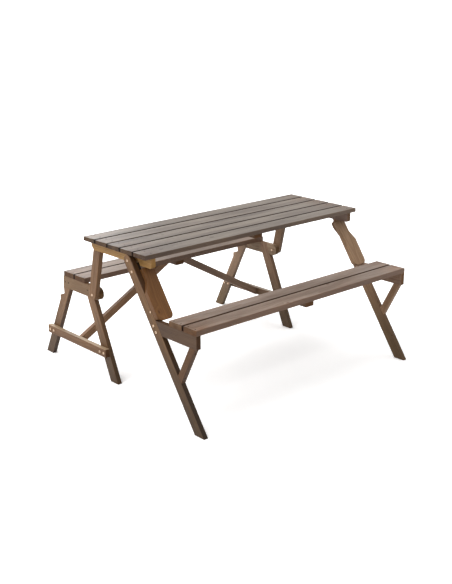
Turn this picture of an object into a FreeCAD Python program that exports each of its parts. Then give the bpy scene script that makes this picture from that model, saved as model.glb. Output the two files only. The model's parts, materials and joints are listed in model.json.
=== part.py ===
import FreeCAD, Part

import os
import re

import Sketcher

# A convertible picnic table bench, in millimetres.
# X runs along the table, +Y to the rear, +Z up; the origin lies on the floor under the middle.
# Shown as a table. Its top swings on the rear bench to become a backrest, and its front bench
# hangs from the top and lands level before the rear bench, so the two make one deep seat.

DRIVING_SIZES = {
    # Whole object
    "table_length": 1355,
    "table_height": 720,
    "overall_depth": 1335,
    "seat_height": 472,
    # Slats
    "table_slats": 5,
    "table_slat_width": 85,
    "table_slat_thick": 20,
    "seat_slat_width": 84.5,
    "seat_slat_thick": 25,
    "slat_gap": 8,
    "slat_round": 3,
    # Frame boards
    "frame_thick": 23,
    "frame_width": 50,
    "support_width": 60,
    "seat_batten_width": 50,
    "seat_batten_inset": 4,
    # Places along the depth
    "front_seat_inset": 43.5,
    "rear_seat_inset": 197.5,
    "backrest_gap": 48.726,
    # End battens, links and centre batten under the table
    "end_batten_width": 46.5,
    "end_batten_front_inset": 3,
    "end_batten_back_inset": 9,
    "end_batten_back_round": 30,
    "end_batten_front_round": 10,
    "link_top_inset": 28,
    "link_screw_high_drop": 14,
    "link_screw_high_shift": 7,
    "link_screw_low_drop": 38,
    "link_screw_low_shift": 1,
    "table_batten_thick": 20,
    "table_batten_front_inset": 12,
    "table_batten_swing_gap": 1.6,
    # Gaps that let the layers pass each other
    "leg_top_gap": 1,
    "layer_gap": 1,
    "link_gap": 1.5,
    "washer_play": 0.3,
    "hinge_play": 0.05,
    "rest_play": 0.7,
    # Rear bench
    "rear_leg_shoulder": 0.8,
    "ledge_notch": 20.6,
    "ledge_proud": 10.5,
    "inner_leg_width": 54,
    "inner_leg_foot": 619,
    "inner_leg_top_inset": 49,
    "support_back_low": 9,
    "support_back_high": 34.7,
    "lap_screw_inset": 12,
    "lap_screw_pitch": 28,
    "inner_lap_screw_spread": 27,
    "rung_width": 40,
    "rung_height": 124,
    "rung_front": 557.5,
    "rung_back": 62.5,
    "rung_bolt_spread": 31,
    "brace_width": 36,
    "brace_back": 327.5,
    "brace_shoulder": 80,
    "brace_foot_rise": 37.6,
    # Front bench
    "prop_inset": 10,
    "prop_width": 33,
    "prop_lean": 27,
    "front_bolt_inset": 34,
    "front_bolt_high": 33,
    "front_bolt_low": 8,
    "leg_screw_inset": 12,
    "leg_screw_rise": 6,
    "leg_screw_length": 15,
    # Armrests
    "armrest_drop": 54,
    "armrest_thick": 22,
    "armrest_width": 85,
    "armrest_start": 61,
    "armrest_neck_end": 120,
    "armrest_shoulder": 170,
    "armrest_corner": 25,
    "armrest_play": 0.5,
    "armrest_floor_gap": 3,
    "bracket_thick": 10,
    "bracket_start": 25,
    "bracket_end_inset": 60,
    "bracket_toe": 12,
    "bracket_heel": 14,
    "bracket_depth": 37,
    "bracket_waist": 15,
    # Bolts, nuts, washers and screws
    "bolt_size": 6,
    "bolt_head_size": 12,
    "bolt_head_thick": 4,
    "nut_flats": 10,
    "nut_thick": 5,
    "washer_size": 16,
    "spacer_size": 20,
    "screw_size": 4,
    "screw_head_size": 8,
    "screw_head_thick": 2,
    "screw_play": 0.1,
    "slat_screw_length": 45,
    "batten_screw_length": 35,
    "table_batten_screw_length": 30,
    "lap_screw_length": 20,
    "link_screw_length": 38,
    "prop_screw_length": 45,
    "prop_screw_setback": 25,
    "prop_screw_tilt": 60,
    "slat_screw_spread": 45,
}

DERIVED_SIZES = {
    # Layers in X at each end, from the outside in
    "half_length": "table_length / 2",
    "front_frame_inner": "half_length - frame_thick",
    "bracket_outer": "front_frame_inner - layer_gap",
    "bracket_inner": "bracket_outer - bracket_thick",
    "end_batten_outer": "bracket_inner - layer_gap",
    "end_batten_inner": "end_batten_outer - frame_thick",
    "link_inner": "end_batten_inner - frame_thick",
    "rear_frame_outer": "link_inner - link_gap",
    "rear_frame_inner": "rear_frame_outer - frame_thick",
    "rung_outer": "rear_frame_outer + frame_thick",
    "lap_thick": "frame_thick / 2",
    # Levels
    "table_underside": "table_height - table_slat_thick",
    "support_top": "seat_height - seat_slat_thick",
    "support_bottom": "support_top - support_width",
    # Seats and table along Y
    "front_limit": "-overall_depth / 2",
    "back_limit": "overall_depth / 2",
    "seat_depth": "2 * seat_slat_width + slat_gap",
    "front_seat_front": "front_limit + front_seat_inset",
    "front_seat_back": "front_seat_front + seat_depth",
    "rear_seat_back": "back_limit - rear_seat_inset",
    "rear_seat_front": "rear_seat_back - seat_depth",
    "table_width": "table_slats * (table_slat_width + slat_gap) - slat_gap",
    # The table turns on the rear bench, and the front bench on the table, so that the front
    # bench lands at its own height with one slat gap between the two seats.
    "travel": "rear_seat_front - slat_gap - front_seat_back",
    "table_pivot_z": "support_top - support_width / 2",
    "seat_pivot_z": "table_underside - leg_top_gap - frame_width / 2",
    "pivot_rise": "seat_pivot_z - table_pivot_z",
    "fold_angle": "2 * atan2(travel / 2; pivot_rise)",
    # Underside of the folded top: the backrest's face, a set gap behind the seat at seat height
    "backrest_lean": "-cos(fold_angle) / sin(fold_angle)",
    "backrest_foot": "rear_seat_back + backrest_gap - seat_height * backrest_lean",
    "pivot_drop": "table_underside - table_pivot_z",
    "table_pivot_y": "backrest_foot + table_pivot_z * backrest_lean - pivot_drop / sin(fold_angle)",
    "seat_pivot_y": "table_pivot_y - travel / 2",
    # Ends of the rear support, and the rear leg that meets its lower corner
    "support_end_low": "backrest_foot + support_bottom * backrest_lean - support_back_low",
    "support_end_high": "backrest_foot + support_top * backrest_lean - support_back_high",
    "rear_leg_slope": "(back_limit - support_end_low - rear_leg_shoulder) / support_bottom",
    # Ledge that the folded top stands on: a notch in the leg, square to the backrest
    "ledge_line": "back_limit - ledge_notch - backrest_foot + rest_play / sin(fold_angle)",
    "ledge_z": "ledge_line / (rear_leg_slope + backrest_lean)",
    "ledge_y": "back_limit - ledge_notch - rear_leg_slope * ledge_z",
    "ledge_fall": "sin(fold_angle) + rear_leg_slope * cos(fold_angle)",
    "ledge_length": "(ledge_notch + ledge_proud) / ledge_fall",
    "ledge_ahead": "(table_pivot_y - ledge_y) * cos(fold_angle)",
    "ledge_along": "ledge_ahead + (ledge_z - table_pivot_z) * sin(fold_angle)",
    "ledge_back_z": "ledge_z + ledge_length * cos(fold_angle)",
    "head_back": "ledge_y + ledge_length * sin(fold_angle)",
    "head_foot_z": "(back_limit - head_back) / rear_leg_slope",
    # The top reaches back from its pivot as far as the ledge that will carry its edge
    "table_back": "table_pivot_y - ledge_along - rest_play",
    "table_front": "table_back - table_width",
    # Table frame
    "end_batten_front": "table_front + end_batten_front_inset",
    "end_batten_back": "table_back - end_batten_back_inset",
    "end_batten_bottom": "table_underside - end_batten_width",
    "link_top_y": "table_back - link_top_inset",
    "link_lean": "atan2(table_pivot_y - link_top_y; table_underside - table_pivot_z)",
    "table_batten_bottom": "table_underside - table_batten_thick",
    # The centre batten swings past the top edge of the rear seat
    "seat_edge_radius": "sqrt((rear_seat_back - table_pivot_y) ^ 2 + (seat_height - table_pivot_z) ^ 2)",
    "batten_radius": "seat_edge_radius + table_batten_swing_gap",
    "batten_level": "pivot_drop - table_batten_thick",
    "table_batten_back": "table_pivot_y - sqrt(max(0; batten_radius ^ 2 - batten_level ^ 2))",
    # Front leg, which leans from its foot to the seat pivot
    "leg_reach_y": "seat_pivot_y - front_limit",
    "leg_reach": "sqrt(leg_reach_y ^ 2 + seat_pivot_z ^ 2)",
    "leg_lean": "atan2(leg_reach_y; seat_pivot_z) - asin(frame_width / 2 / leg_reach)",
    "leg_slope": "tan(leg_lean)",
    "leg_level_width": "frame_width / cos(leg_lean)",
    # Prop between the front leg and its seat support
    "prop_front": "front_seat_front + prop_inset",
    "prop_slope": "tan(prop_lean)",
    "prop_level_width": "prop_width / cos(prop_lean)",
    "prop_tip_z": "(prop_front - front_limit + support_bottom * prop_slope) / (leg_slope + prop_slope)",
    "prop_heel_z": "prop_tip_z + prop_level_width / (leg_slope + prop_slope)",
    # Rear and inner legs
    "rear_leg_level_width": "frame_width * sqrt(1 + rear_leg_slope ^ 2)",
    "inner_leg_front": "back_limit - inner_leg_foot",
    "inner_leg_reach": "rear_seat_front - inner_leg_top_inset - inner_leg_front",
    "inner_leg_slope": "inner_leg_reach / support_top",
    "inner_leg_level_width": "inner_leg_width * sqrt(1 + inner_leg_slope ^ 2)",
    # Rungs and braces
    "rung_top": "rung_height + rung_width",
    "rung_middle": "rung_height + rung_width / 2",
    "rung_front_y": "back_limit - rung_front",
    "rung_back_y": "back_limit - rung_back",
    "brace_front_y": "back_limit - brace_back",
    "brace_foot_top": "rung_height + brace_foot_rise",
    "brace_slope": "(support_top - brace_foot_top) / (rear_frame_outer - brace_shoulder)",
    "brace_drop": "brace_width * sqrt(1 + brace_slope ^ 2)",
    "brace_foot_x": "rear_frame_outer - (brace_drop - brace_foot_rise) / brace_slope",
    "brace_head_low": "support_top - brace_drop + brace_slope * (brace_shoulder - seat_batten_width / 2)",
    # Armrests, measured down the front leg from the seat pivot
    "armrest_pivot_y": "seat_pivot_y - armrest_drop * sin(leg_lean)",
    "armrest_pivot_z": "seat_pivot_z - armrest_drop * cos(leg_lean)",
    "armrest_low": "frame_width / 2 + armrest_play",
    "armrest_high": "armrest_low + armrest_thick",
    "armrest_end_z": "support_top + armrest_floor_gap",
    "armrest_short": "(seat_pivot_z - armrest_end_z + armrest_low * sin(leg_lean)) / cos(leg_lean)",
    "armrest_long": "(seat_pivot_z - armrest_end_z + armrest_high * sin(leg_lean)) / cos(leg_lean)",
    "bracket_end": "armrest_short - bracket_end_inset",
    # Screw lines
    "table_screw_x": "(end_batten_inner + end_batten_outer) / 2",
    "front_seat_screw_x": "(front_frame_inner + half_length) / 2",
    "rear_seat_screw_x": "(rear_frame_inner + rear_frame_outer) / 2",
    "screw_hole_size": "screw_size + 2 * screw_play",
    "screw_seat_size": "screw_head_size + 2 * screw_play",
    "running_hole_size": "bolt_size + 2 * hinge_play",
}

SIDES = ("left", "right")

document = FreeCAD.newDocument("picnic_table_bench")
sheet = document.addObject("Spreadsheet::Sheet", "sizes")
derived = document.addObject("App::VarSet", "derived")
subparts = []


def fill_sheet():
    """Write the driving sizes into the sheet."""
    for row, (alias, value) in enumerate(DRIVING_SIZES.items(), start=1):
        sheet.set(f"A{row}", alias)
        sheet.set(f"B{row}", str(value))
        sheet.setAlias(f"B{row}", alias)
    document.recompute()


def derive_sizes():
    """Work the other sizes out from the sheet."""
    for name in DERIVED_SIZES:
        derived.addProperty("App::PropertyFloat", name)
    for name, text in DERIVED_SIZES.items():
        derived.setExpression(name, bound(text).replace("derived.", ""))
    document.recompute()


def bound(text):
    """Put the holder's name before each size in a formula."""
    def with_holder(match):
        word = match.group()
        if word in DRIVING_SIZES:
            return f"sizes.{word}"
        return f"derived.{word}" if word in DERIVED_SIZES else word
    return re.sub(r"[a-z]\w*", with_holder, text)


def bind(feature, **properties):
    """Bind properties of a feature to formulas; a double underscore stands for a dot."""
    for name, text in properties.items():
        feature.setExpression(name.replace("__", "."), bound(text))


def new_body(label, y="0", z="0", lean=None):
    """Start a sub-part, placed at Y and Z and leaned back about X."""
    body = document.addObject("PartDesign::Body", label)
    body.Label = label
    body.AllowCompound = True
    if lean:
        body.Placement = FreeCAD.Placement(FreeCAD.Vector(), FreeCAD.Rotation(FreeCAD.Vector(1, 0, 0), 45))
        bind(body, Placement__Rotation__Angle=lean)
    bind(body, Placement__Base__y=y, Placement__Base__z=z)
    subparts.append(body)
    return body


def new_sketch(body, role, name, offset="0"):
    """Attach a sketch to an origin plane of its body, moved along the plane's normal."""
    planes = [plane for plane in body.Origin.OriginFeatures if plane.Role == role]
    sketch = body.newObject("Sketcher::SketchObject", name)
    sketch.AttachmentSupport = [(planes[0], "")]
    sketch.MapMode = "FlatFace"
    bind(sketch, AttachmentOffset__Base__z=offset)
    return sketch


def value_of(text):
    """The present value of a formula."""
    return float(sheet.evalExpression(bound(text)))


def draw_outline(sketch, points):
    """Draw a closed outline with straight sides through points given as formulas."""
    first = sketch.GeometryCount
    corners = [FreeCAD.Vector(value_of(across), value_of(up), 0) for across, up in points]
    for corner, following in zip(corners, corners[1:] + corners[:1]):
        sketch.addGeometry(Part.LineSegment(corner, following))
    lines = list(range(first, sketch.GeometryCount))
    for line, following in zip(lines, lines[1:] + lines[:1]):
        sketch.addConstraint(Sketcher.Constraint("Coincident", line, 2, following, 1))
    for line, corner, (across, up) in zip(lines, corners, points):
        pin_point(sketch, line, 1, corner, across, up)


def draw_circles(sketch, centres, size):
    """Draw circles of one diameter round centres given as formulas."""
    for across, up in centres:
        centre = FreeCAD.Vector(value_of(across), value_of(up), 0)
        outline = Part.Circle(centre, FreeCAD.Vector(0, 0, 1), value_of(size) / 2)
        circle = sketch.addGeometry(outline)
        pin_point(sketch, circle, 3, centre, across, up)
        width = sketch.addConstraint(Sketcher.Constraint("Diameter", circle, value_of(size)))
        bind(sketch, **{f"Constraints[{width}]": size})


def draw_hexagons(sketch, centres, flats):
    """Draw hexagons of one width across flats round centres given as formulas."""
    for across, up in centres:
        corners = []
        for angle in range(0, 360, 60):
            corner_x = f"{across} + {flats} / sqrt(3) * cos({angle})"
            corner_y = f"{up} + {flats} / sqrt(3) * sin({angle})"
            corners.append((corner_x, corner_y))
        draw_outline(sketch, corners)


def pin_point(sketch, geometry, vertex, point, across, up):
    """Hold a sketch point at its formulas."""
    level = sketch.addConstraint(Sketcher.Constraint("DistanceX", geometry, vertex, point.x))
    upright = sketch.addConstraint(Sketcher.Constraint("DistanceY", geometry, vertex, point.y))
    bind(sketch, **{f"Constraints[{level}]": across, f"Constraints[{upright}]": up})


def add_pad(body, sketch, length, **options):
    """Thicken a sketch along its normal."""
    pad = body.newObject("PartDesign::Pad", "pad")
    pad.Profile = sketch
    bind(pad, Length=length)
    for name, value in options.items():
        setattr(pad, name, value)
    document.recompute()
    return pad


def cut_pocket(body, sketch, length=None, **options):
    """Cut a sketch into the body, by default against its normal and right through."""
    before = body.Shape.Volume
    pocket = body.newObject("PartDesign::Pocket", "pocket")
    pocket.Profile = sketch
    if length:
        bind(pocket, Length=length)
    else:
        pocket.Type = "ThroughAll"
        pocket.Midplane = True
    for name, value in options.items():
        setattr(pocket, name, value)
    document.recompute()
    if body.Shape.Volume >= before:
        raise ValueError(f"{body.Label}: a cut removes nothing")


def dress(body, kind, names, **sizes):
    """Round or bevel the named edges or faces of the body's last feature."""
    base = body.Tip
    feature = body.newObject(f"PartDesign::{kind}", kind.lower())
    feature.Base = (base, names)
    bind(feature, **sizes)
    document.recompute()


def edges_along(body, axis, points):
    """Names of the straight edges along an axis of the body's own frame through given points."""
    names = []
    direction = FreeCAD.Vector(*axis)
    shape = body.Tip.Shape
    for number, edge in enumerate(shape.Edges, start=1):
        start, end = edge.firstVertex().Point, edge.lastVertex().Point
        if (end - start).cross(direction).Length > 1e-6 or edge.Length < 1e-6:
            continue
        for point in points:
            offset = start - FreeCAD.Vector(*point)
            if offset.cross(direction).Length < 1e-4:
                names.append(f"Edge{number}")
                break
    return names


def circle_edges(body, axis, level, size):
    """Names of the circles of one diameter at a level of the body's own frame."""
    names = []
    for number, edge in enumerate(body.Tip.Shape.Edges, start=1):
        curve = edge.Curve
        if not isinstance(curve, Part.Circle):
            continue
        same_level = abs(curve.Center[axis] - level) < 1e-4
        if same_level and abs(2 * curve.Radius - size) < 1e-4:
            names.append(f"Edge{number}")
    return names


def face_at(body, axis, level):
    """Names of the flat faces that lie wholly at a level of the body's own frame."""
    names = []
    for number, face in enumerate(body.Tip.Shape.Faces, start=1):
        box = face.BoundBox
        low, high = ((box.XMin, box.XMax), (box.YMin, box.YMax), (box.ZMin, box.ZMax))[axis]
        if abs(low - level) < 1e-4 and abs(high - level) < 1e-4:
            names.append(f"Face{number}")
    return names


# Boards of the end frames, drawn in the Y Z plane and thick in X

def board(label, side, inner, outer, points, round_ends=(), round_size="frame_width"):
    """A board between two distances from the middle, with discs for its round ends."""
    body = new_body(label)
    bind(body, Placement__Base__x=inner if side == "right" else f"-({outer})")
    outline = new_sketch(body, "YZ_Plane", "outline")
    draw_outline(outline, points)
    add_pad(body, outline, f"{outer} - ({inner})")
    if round_ends:
        discs = new_sketch(body, "YZ_Plane", "round_ends")
        draw_circles(discs, round_ends, round_size)
        add_pad(body, discs, f"{outer} - ({inner})")
    return body


def inner_half(side):
    """Where the inner half of a frame board starts in its own frame."""
    return "0" if side == "right" else "lap_thick"


def add_tongue(body, side, points):
    """Carry the inner half of a board on into the board that it laps."""
    outline = new_sketch(body, "YZ_Plane", "tongue", inner_half(side))
    draw_outline(outline, points)
    add_pad(body, outline, "lap_thick")


def cut_lap(body, side, points):
    """Cut the recess for another board's tongue into the inner half of a board."""
    outline = new_sketch(body, "YZ_Plane", "lap", inner_half(side))
    draw_outline(outline, points)
    cut_pocket(body, outline, "lap_thick", Reversed=True)


def drill(body, centres, size):
    """Drill holes right through a board."""
    holes = new_sketch(body, "YZ_Plane", "holes")
    draw_circles(holes, centres, size)
    cut_pocket(body, holes)


def drill_blind(body, side, face, centres, size, depth):
    """Drill blind holes from the outer or inner face of a frame board."""
    far_face = (face == "outer") == (side == "right")
    holes = new_sketch(body, "YZ_Plane", "blind_holes", "frame_thick" if far_face else "0")
    draw_circles(holes, centres, size)
    cut_pocket(body, holes, depth, Reversed=not far_face)


def drill_down(body, places, top, depth):
    """Drill screw holes down into the middle of a frame board's top edge."""
    holes = new_sketch(body, "XY_Plane", "screw_holes", top)
    draw_circles(holes, [("frame_thick / 2", y) for y in places], "screw_hole_size")
    cut_pocket(body, holes, depth)


# Slats and the battens under them

SEAT_PILOT_DEPTH = "slat_screw_length - seat_slat_thick + screw_play"
TABLE_PILOT_DEPTH = "slat_screw_length - table_slat_thick + screw_play"


def slat_screw_places(front, width):
    """Where the two screws of a slat end lie along Y."""
    return [f"{front} + {width} / 2 {sign} slat_screw_spread / 2" for sign in "-+"]


def seat_slat_front(seat_front, number):
    """Front edge of a seat's first or second slat."""
    return f"{seat_front} + {number - 1} * (seat_slat_width + slat_gap)"


def seat_screw_places(seat_front, number):
    """Where the two screws of a seat's first or second slat lie along Y."""
    return slat_screw_places(seat_slat_front(seat_front, number), "seat_slat_width")


def slat(label, front, top, width, thick, half_length, screw_x, batten_screws, batten_depth):
    """A slat with rounded top edges, holes at both ends and blind holes over the batten."""
    body = new_body(label, front, f"{top} - {thick}")
    section = new_sketch(body, "YZ_Plane", "section")
    draw_outline(section, [("0", "0"), (width, "0"), (width, thick), ("0", thick)])
    add_pad(body, section, f"2 * {half_length}", Midplane=True)
    dress(body, "Fillet", face_at(body, 2, value_of(thick)), Radius="slat_round")
    places = slat_screw_places("0", width)
    end_holes = new_sketch(body, "XY_Plane", "end_holes", thick)
    draw_circles(end_holes, [(x, y) for x in (f"-{screw_x}", screw_x) for y in places], "screw_hole_size")
    cut_pocket(body, end_holes)
    edges = circle_edges(body, 2, value_of(thick), value_of("screw_hole_size"))
    dress(body, "Chamfer", edges, Size="(screw_head_size - screw_size) / 2")
    if batten_screws:
        batten_holes = new_sketch(body, "XY_Plane", "batten_holes")
        draw_circles(batten_holes, [("0", y) for y in places[:batten_screws]], "screw_hole_size")
        cut_pocket(body, batten_holes, batten_depth, Reversed=True)


def centre_batten(label, front, back, bottom, thick, screw_places):
    """A batten across the middle of the slats, with screw holes from below."""
    body = new_body(label, "0", bottom)
    outline = new_sketch(body, "XY_Plane", "outline")
    half = "seat_batten_width / 2"
    draw_outline(outline, [(f"-{half}", front), (half, front), (half, back), (f"-{half}", back)])
    add_pad(body, outline, thick)
    holes = new_sketch(body, "XY_Plane", "holes")
    draw_circles(holes, [("0", y) for y in screw_places], "screw_hole_size")
    cut_pocket(body, holes)
    edges = circle_edges(body, 2, 0, value_of("screw_hole_size"))
    dress(body, "Chamfer", edges, Size="(screw_head_size - screw_size) / 2")
    return body


# Screws and bolts

def screws(label, head, length, up, x_places, y_first, patterns):
    """Countersunk screws whose heads lie at one level, with their points down or up."""
    body = new_body(label, y_first, head)
    first_x = x_places[0]
    bind(body, Placement__Base__x=first_x)
    sign = "" if up else "-"
    profile = new_sketch(body, "XZ_Plane", "profile")
    neck = "(screw_head_size - screw_size) / 2"
    tip = f"({length}) - screw_size"
    draw_outline(profile, [
        ("0", "0"),
        ("screw_head_size / 2", "0"),
        ("screw_size / 2", f"{sign}({neck})"),
        ("screw_size / 2", f"{sign}({tip})"),
        ("0", f"{sign}({length})"),
    ])
    turned = body.newObject("PartDesign::Revolution", "turned")
    turned.Profile = profile
    turned.ReferenceAxis = (profile, ["V_Axis"])
    turned.Angle = 360
    document.recompute()
    repeats = list(patterns)
    if len(x_places) == 2:
        repeats.append(("X_Axis", f"{x_places[1]} - ({first_x})", 2))
    grid = body.newObject("PartDesign::MultiTransform", "grid")
    rows = []
    for role, length_text, count in repeats:
        row = body.newObject("PartDesign::LinearPattern", "row")
        axes = [axis for axis in body.Origin.OriginFeatures if axis.Role == role]
        row.Direction = (axes[0], [""])
        row.Occurrences = count
        bind(row, Length=length_text)
        rows.append(row)
    grid.Originals = [turned]
    grid.Transformations = rows
    body.Tip = grid
    document.recompute()
    return body


def turned_set(label, centres, sections, mirrored=True, y="0", z="0"):
    """Bolts, nuts or rings along X: each section is start, end, size and form."""
    body = new_body(label, y, z)
    for start, end, size, form in sections:
        sketch = new_sketch(body, "YZ_Plane", form, start)
        if form == "hexagon":
            draw_hexagons(sketch, centres, size)
        else:
            draw_circles(sketch, centres, size)
        add_pad(body, sketch, f"{end} - ({start})")
    if mirrored:
        planes = [plane for plane in body.Origin.OriginFeatures if plane.Role == "YZ_Plane"]
        mirror = body.newObject("PartDesign::Mirrored", "other_side")
        mirror.TransformMode = "Whole shape"
        mirror.MirrorPlane = (planes[0], [""])
        body.Tip = mirror
        document.recompute()
    return body


# Rear bench: two end frames, rungs, braces and its seat

REAR_LEG_FRONT_TOP = "back_limit - rear_leg_level_width - rear_leg_slope * support_top"
REAR_LEG_FRONT_LAP = "back_limit - rear_leg_level_width - rear_leg_slope * support_bottom"
REAR_LAP = [
    (REAR_LEG_FRONT_LAP, "support_bottom"),
    ("support_end_low", "support_bottom"),
    ("support_end_high", "support_top"),
    (REAR_LEG_FRONT_TOP, "support_top"),
]
INNER_LEG_TOP = "inner_leg_front + inner_leg_slope * support_top"
INNER_LEG_LAP = "inner_leg_front + inner_leg_slope * support_bottom"
INNER_LAP = [
    (INNER_LEG_LAP, "support_bottom"),
    (f"{INNER_LEG_LAP} + inner_leg_level_width", "support_bottom"),
    (f"{INNER_LEG_TOP} + inner_leg_level_width", "support_top"),
    (INNER_LEG_TOP, "support_top"),
]
REAR_LEG_MIDDLE = "back_limit - rear_leg_level_width / 2 - rear_leg_slope * rung_middle"
INNER_LEG_MIDDLE = "inner_leg_front + inner_leg_level_width / 2 + inner_leg_slope * rung_middle"
REAR_RUNG_BOLTS = [(f"{REAR_LEG_MIDDLE} {sign} rung_bolt_spread / 2", "rung_middle") for sign in "-+"]
INNER_RUNG_BOLTS = [(f"{INNER_LEG_MIDDLE} {sign} rung_bolt_spread / 2", "rung_middle") for sign in "-+"]
REAR_LAP_SCREWS = [
    ("support_end_high - lap_screw_inset", "table_pivot_z"),
    ("support_end_high - lap_screw_inset - lap_screw_pitch", "table_pivot_z"),
]
INNER_LEG_LAP_MIDDLE = "inner_leg_front + inner_leg_level_width / 2 + inner_leg_slope * table_pivot_z"
INNER_LAP_SCREWS = [
    (f"{INNER_LEG_LAP_MIDDLE} {sign} inner_lap_screw_spread / 2", "table_pivot_z") for sign in "-+"
]
TABLE_PIVOT = [("table_pivot_y", "table_pivot_z")]
SEAT_PIVOT = [("seat_pivot_y", "seat_pivot_z")]


def rear_support(side):
    """Board under the rear seat; its round front end carries the table pivot."""
    body = board(f"rear_support_{side}", side, "rear_frame_inner", "rear_frame_outer", [
        ("table_pivot_y", "support_bottom"),
        ("support_end_low", "support_bottom"),
        ("support_end_high", "support_top"),
        ("table_pivot_y", "support_top"),
    ], TABLE_PIVOT, "support_width")
    cut_lap(body, side, REAR_LAP)
    cut_lap(body, side, INNER_LAP)
    drill(body, TABLE_PIVOT, "bolt_size")
    drill_lap_screws(body, side, REAR_LAP_SCREWS + INNER_LAP_SCREWS)
    places = seat_screw_places("rear_seat_front", 1) + seat_screw_places("rear_seat_front", 2)
    drill_down(body, places, "support_top", SEAT_PILOT_DEPTH)


def rear_leg(side):
    """Leg that leans forward, with a ledge that the folded backrest stands on."""
    body = board(f"rear_leg_{side}", side, "rear_frame_inner", "rear_frame_outer", [
        ("back_limit - rear_leg_level_width", "0"),
        ("back_limit", "0"),
        ("head_back", "head_foot_z"),
        ("head_back", "ledge_back_z"),
        ("ledge_y", "ledge_z"),
        ("support_end_low", "support_bottom"),
        (REAR_LEG_FRONT_LAP, "support_bottom"),
    ])
    add_tongue(body, side, REAR_LAP)
    drill(body, REAR_RUNG_BOLTS, "bolt_size")
    drill_lap_screws(body, side, REAR_LAP_SCREWS, with_heads=False)
    drill_down(body, seat_screw_places("rear_seat_front", 2), "support_top", SEAT_PILOT_DEPTH)


def inner_leg(side):
    """Leg that leans back under the front of the rear bench."""
    body = board(f"inner_leg_{side}", side, "rear_frame_inner", "rear_frame_outer", [
        ("inner_leg_front", "0"),
        ("inner_leg_front + inner_leg_level_width", "0"),
        (f"{INNER_LEG_LAP} + inner_leg_level_width", "support_bottom"),
        (INNER_LEG_LAP, "support_bottom"),
    ])
    add_tongue(body, side, INNER_LAP)
    drill(body, INNER_RUNG_BOLTS, "bolt_size")
    drill_lap_screws(body, side, INNER_LAP_SCREWS, with_heads=False)


def drill_lap_screws(body, side, centres, with_heads=True):
    """Holes for the screws that hold a lap, with seats for their heads in the outer board."""
    drill_blind(body, side, "outer", centres, "screw_hole_size", "lap_screw_length + screw_play")
    if with_heads:
        drill_blind(body, side, "outer", centres, "screw_seat_size", "screw_head_thick")


def rung(side):
    """Level board bolted on the outside of the two rear legs."""
    body = board(f"rung_{side}", side, "rear_frame_outer", "rung_outer", [
        ("rung_front_y", "rung_height"),
        ("rung_back_y", "rung_height"),
        ("rung_back_y", "rung_top"),
        ("rung_front_y", "rung_top"),
    ])
    drill(body, REAR_RUNG_BOLTS + INNER_RUNG_BOLTS, "bolt_size")


def brace(side):
    """Sloping board from the middle of the rear seat down to a rung."""
    body = new_body(f"brace_{side}", "brace_front_y + frame_thick")
    outline = new_sketch(body, "XZ_Plane", "outline")
    sign = "" if side == "right" else "-"
    draw_outline(outline, [(f"{sign}({across})", up) for across, up in [
        ("seat_batten_width / 2", "brace_head_low"),
        ("seat_batten_width / 2", "support_top"),
        ("brace_shoulder", "support_top"),
        ("rear_frame_outer", "brace_foot_top"),
        ("rear_frame_outer", "rung_height"),
        ("brace_foot_x", "rung_height"),
    ]])
    add_pad(body, outline, "frame_thick")


def seat(prefix, seat_front, half_length, screw_x):
    """Two slats, the batten under their middle and their screws."""
    for number in (1, 2):
        front = seat_slat_front(seat_front, number)
        slat(f"{prefix}_slat_{number}", front, "seat_height", "seat_slat_width", "seat_slat_thick",
             half_length, screw_x, 2, "batten_screw_length - frame_thick + screw_play")
    first = seat_screw_places(seat_front, 1)
    second = seat_screw_places(seat_front, 2)
    centre_batten(f"{prefix}_batten", f"{seat_front} + seat_batten_inset",
                  f"{seat_front} + seat_depth - seat_batten_inset",
                  "support_top - frame_thick", "frame_thick", first + second)
    pitch = [("Y_Axis", "slat_screw_spread", 2), ("Y_Axis", "seat_slat_width + slat_gap", 2)]
    screws(f"{prefix}_screws", "seat_height", "slat_screw_length", False, (f"-{screw_x}", screw_x),
           first[0], pitch)
    screws(f"{prefix}_batten_screws", "support_top - frame_thick", "batten_screw_length", True, ("0",),
           first[0], pitch)


def rear_frame_hardware():
    """Bolts, screws and pivots of the rear bench."""
    turned_set("rear_frame_bolts", REAR_RUNG_BOLTS + INNER_RUNG_BOLTS, [
        ("rear_frame_inner - nut_thick", "rear_frame_inner", "nut_flats", "hexagon"),
        ("rear_frame_inner", "rung_outer", "bolt_size", "shank"),
        ("rung_outer", "rung_outer + bolt_head_thick", "bolt_head_size", "head"),
    ])
    head_start = "rear_frame_outer - screw_head_thick"
    turned_set("rear_lap_screws", REAR_LAP_SCREWS + INNER_LAP_SCREWS, [
        ("rear_frame_outer - lap_screw_length", head_start, "screw_size", "shank"),
        (head_start, "rear_frame_outer", "screw_head_size", "head"),
    ])
    head_start = "end_batten_inner + washer_play"
    turned_set("table_pivot_bolts", TABLE_PIVOT, [
        ("rear_frame_inner - nut_thick", "rear_frame_inner", "nut_flats", "hexagon"),
        ("rear_frame_inner", head_start, "bolt_size", "shank"),
        (head_start, f"{head_start} + bolt_head_thick", "bolt_head_size", "head"),
    ])
    washers = turned_set("table_pivot_washers", TABLE_PIVOT, [
        ("rear_frame_outer", "link_inner - washer_play", "washer_size", "ring"),
    ])
    drill(washers, TABLE_PIVOT, "bolt_size")


# Table: slats, end battens, links and centre batten

def table_slat_front(number):
    """Front edge of a table slat."""
    return f"table_front + {number - 1} * (table_slat_width + slat_gap)"


def table_screw_places():
    """Where the screws of all table slats lie along Y."""
    places = []
    for number in range(1, int(sheet.table_slats) + 1):
        places += slat_screw_places(table_slat_front(number), "table_slat_width")
    return places


LINK_SCREWS = [
    ("link_top_y - link_screw_high_shift", "table_underside - link_screw_high_drop"),
    ("link_top_y - link_screw_low_shift", "table_underside - link_screw_low_drop"),
]


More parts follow.
